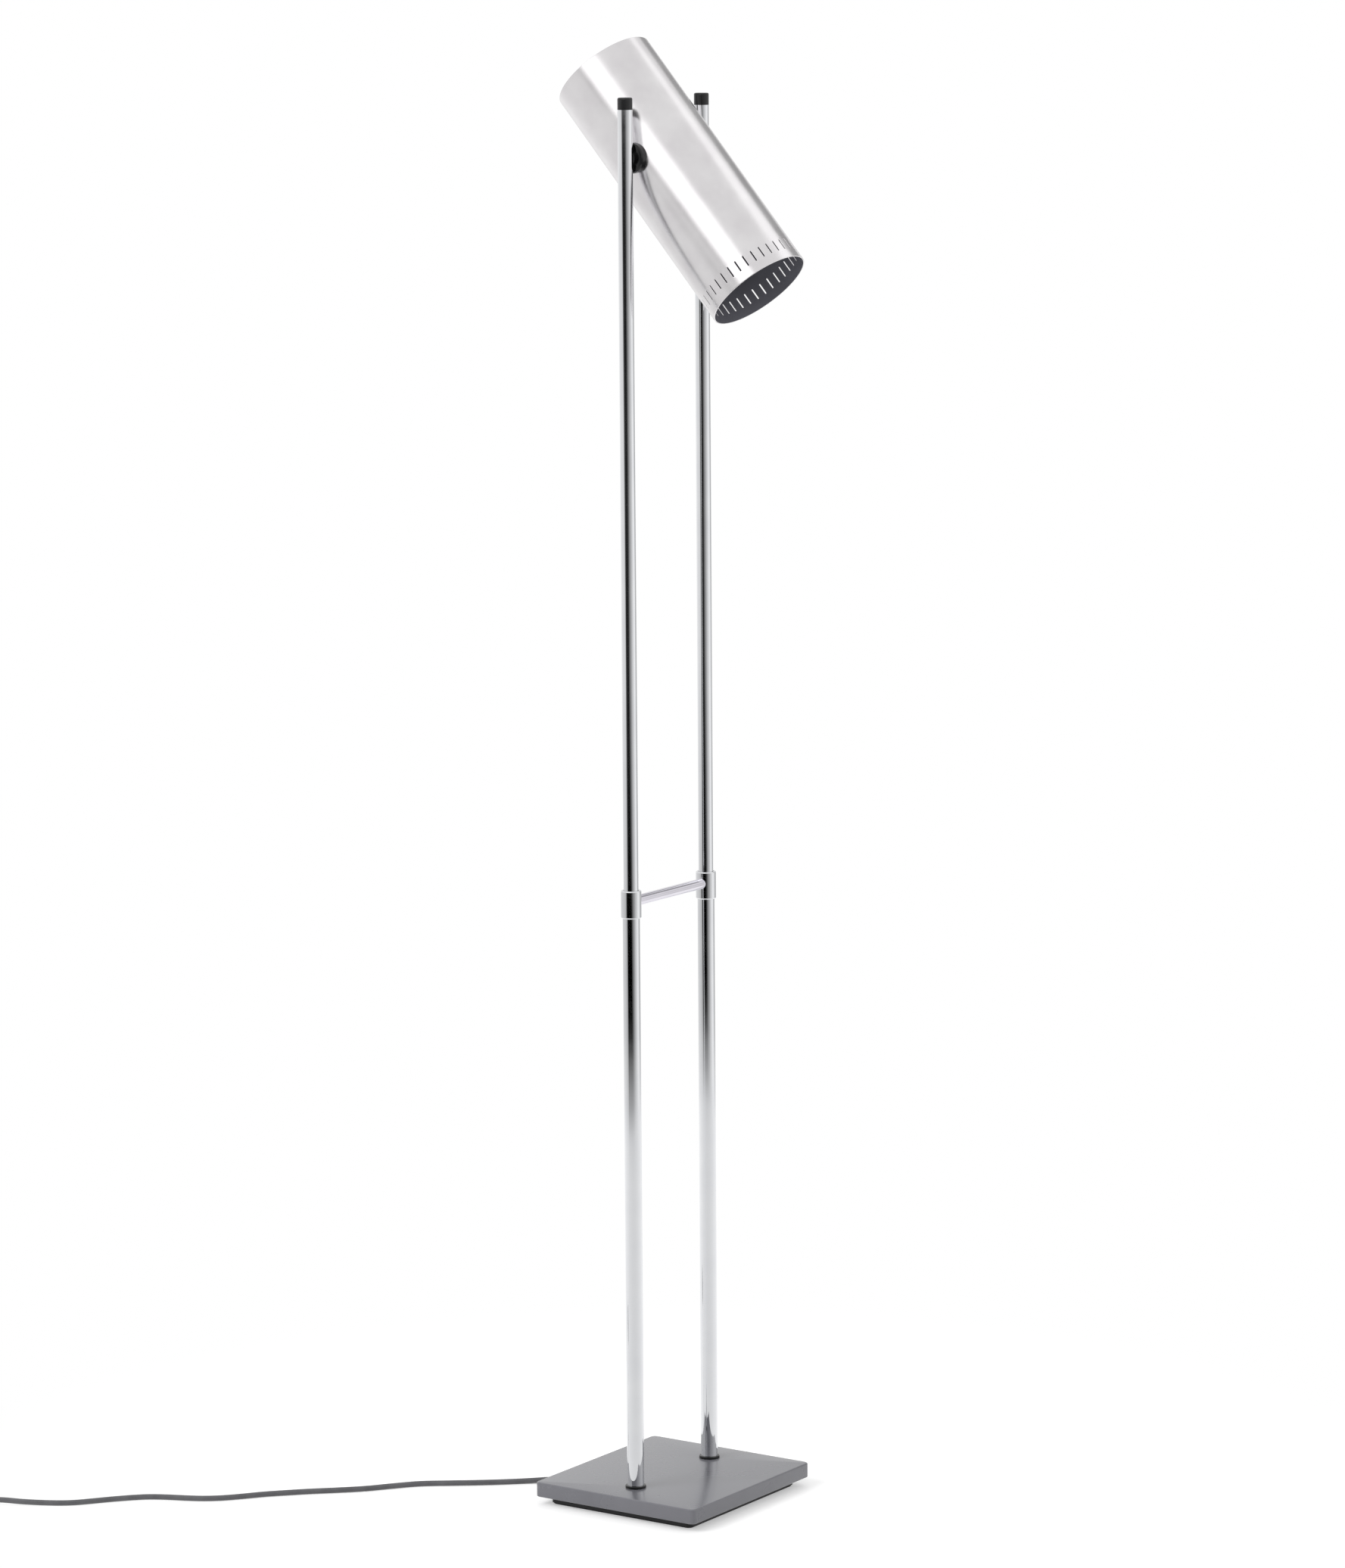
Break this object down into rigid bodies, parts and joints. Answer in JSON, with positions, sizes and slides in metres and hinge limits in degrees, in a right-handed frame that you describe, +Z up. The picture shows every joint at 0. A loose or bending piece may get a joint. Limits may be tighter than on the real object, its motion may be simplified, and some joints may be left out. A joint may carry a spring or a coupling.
{
  "type": "telescopic floor lamp",
  "caption": "Floor lamp with two telescoping chromed posts on a lacquered base plate and a tilting cylinder shade with a slotted mouth.",
  "frame": {"origin": "middle of the base's underside on the floor, halfway between the two posts", "axes": "+Z up along the posts, +Y along the line from the front post to the rear post, +X the way the shade's mouth leans"},
  "size_m": [0.8203, 0.5415, 1.3694],
  "materials": {
    "grey_lacquer": "smooth glossy grey stove lacquer",
    "black_paint": "matt black paint",
    "black_lacquer": "semi-gloss black lacquer",
    "felt": "pressed black felt",
    "zinc_steel": "zinc plated steel",
    "polished_chrome": "mirror polished chrome plate",
    "nylon": "natural nylon",
    "black_plastic": "glossy black moulded plastic",
    "black_rubber": "matt black rubber",
    "cord_pvc": "dark grey flexible PVC",
    "lead_pvc": "dark grey heat-proof sleeving",
    "brass": "turned brass",
    "nickel_pins": "nickel plated brass",
    "bakelite": "moulded black phenolic",
    "bulb_metal": "plain aluminium screw cap",
    "opal_glass": "white coated bulb glass"
  },
  "bodies": {
    "stand": {"base_plate": "grey_lacquer", "base_plinth": "black_paint", "base_pad": "felt", "plinth_screws": "zinc_steel", "foot_washers": "black_plastic", "front_tube": "polished_chrome", "rear_tube": "polished_chrome", "tube_studs": "zinc_steel", "tube_nuts": "zinc_steel", "front_collar": "polished_chrome", "rear_collar": "polished_chrome", "collar_bushes": "nylon", "collar_grubs": "zinc_steel", "crossbar": "polished_chrome", "cable_gland": "black_rubber", "base_lead": "lead_pvc", "tube_lead": "lead_pvc", "cord": "cord_pvc", "cord_link": "cord_pvc", "cord_coil": "cord_pvc", "cord_tail": "cord_pvc", "cord_tie": "black_rubber", "plug_body": "black_plastic", "plug_pins": "nickel_pins", "switch_base": "black_plastic", "switch_cover": "black_plastic", "switch_screws": "zinc_steel"},
    "slider": {"front_rod": "polished_chrome", "rear_rod": "polished_chrome", "rod_guides": "nylon", "rod_caps": "black_plastic", "pivot_inserts": "brass", "pivot_studs": "zinc_steel", "pivot_saddles": "black_plastic", "pivot_washers": "zinc_steel", "pivot_nuts": "zinc_steel", "rod_lead": "lead_pvc"},
    "shade": {"shade_tube": "polished_chrome", "slot_band": "polished_chrome", "shade_top": "black_lacquer", "pivot_discs": "black_plastic", "holder_bracket": "black_lacquer", "lampholder": "bakelite", "holder_shell": "brass", "holder_nipple": "zinc_steel", "shade_lead": "lead_pvc", "bulb_cap": "bulb_metal", "bulb_glass": "opal_glass"},
    "rocker": {"switch_rocker": "black_plastic"}
  },
  "joints": [
    {"name": "telescope", "type": "slide", "parent": "stand", "child": "slider", "axis": [0, 0, 1], "range_m": [-0.38, 0.03], "deforming": ["tube_lead"]},
    {"name": "shade_tilt", "type": "hinge", "parent": "slider", "child": "shade", "pos_m": [0, 0, 1.262], "axis": [0, -1, 0], "range_deg": [-131, 89]},
    {"name": "switch_rock", "type": "hinge", "parent": "stand", "child": "rocker", "pos_m": [-0.56684, -0.405, 0.008], "axis": [-0.5, 0.866, 0], "range_deg": [0, 12]}
  ]
}
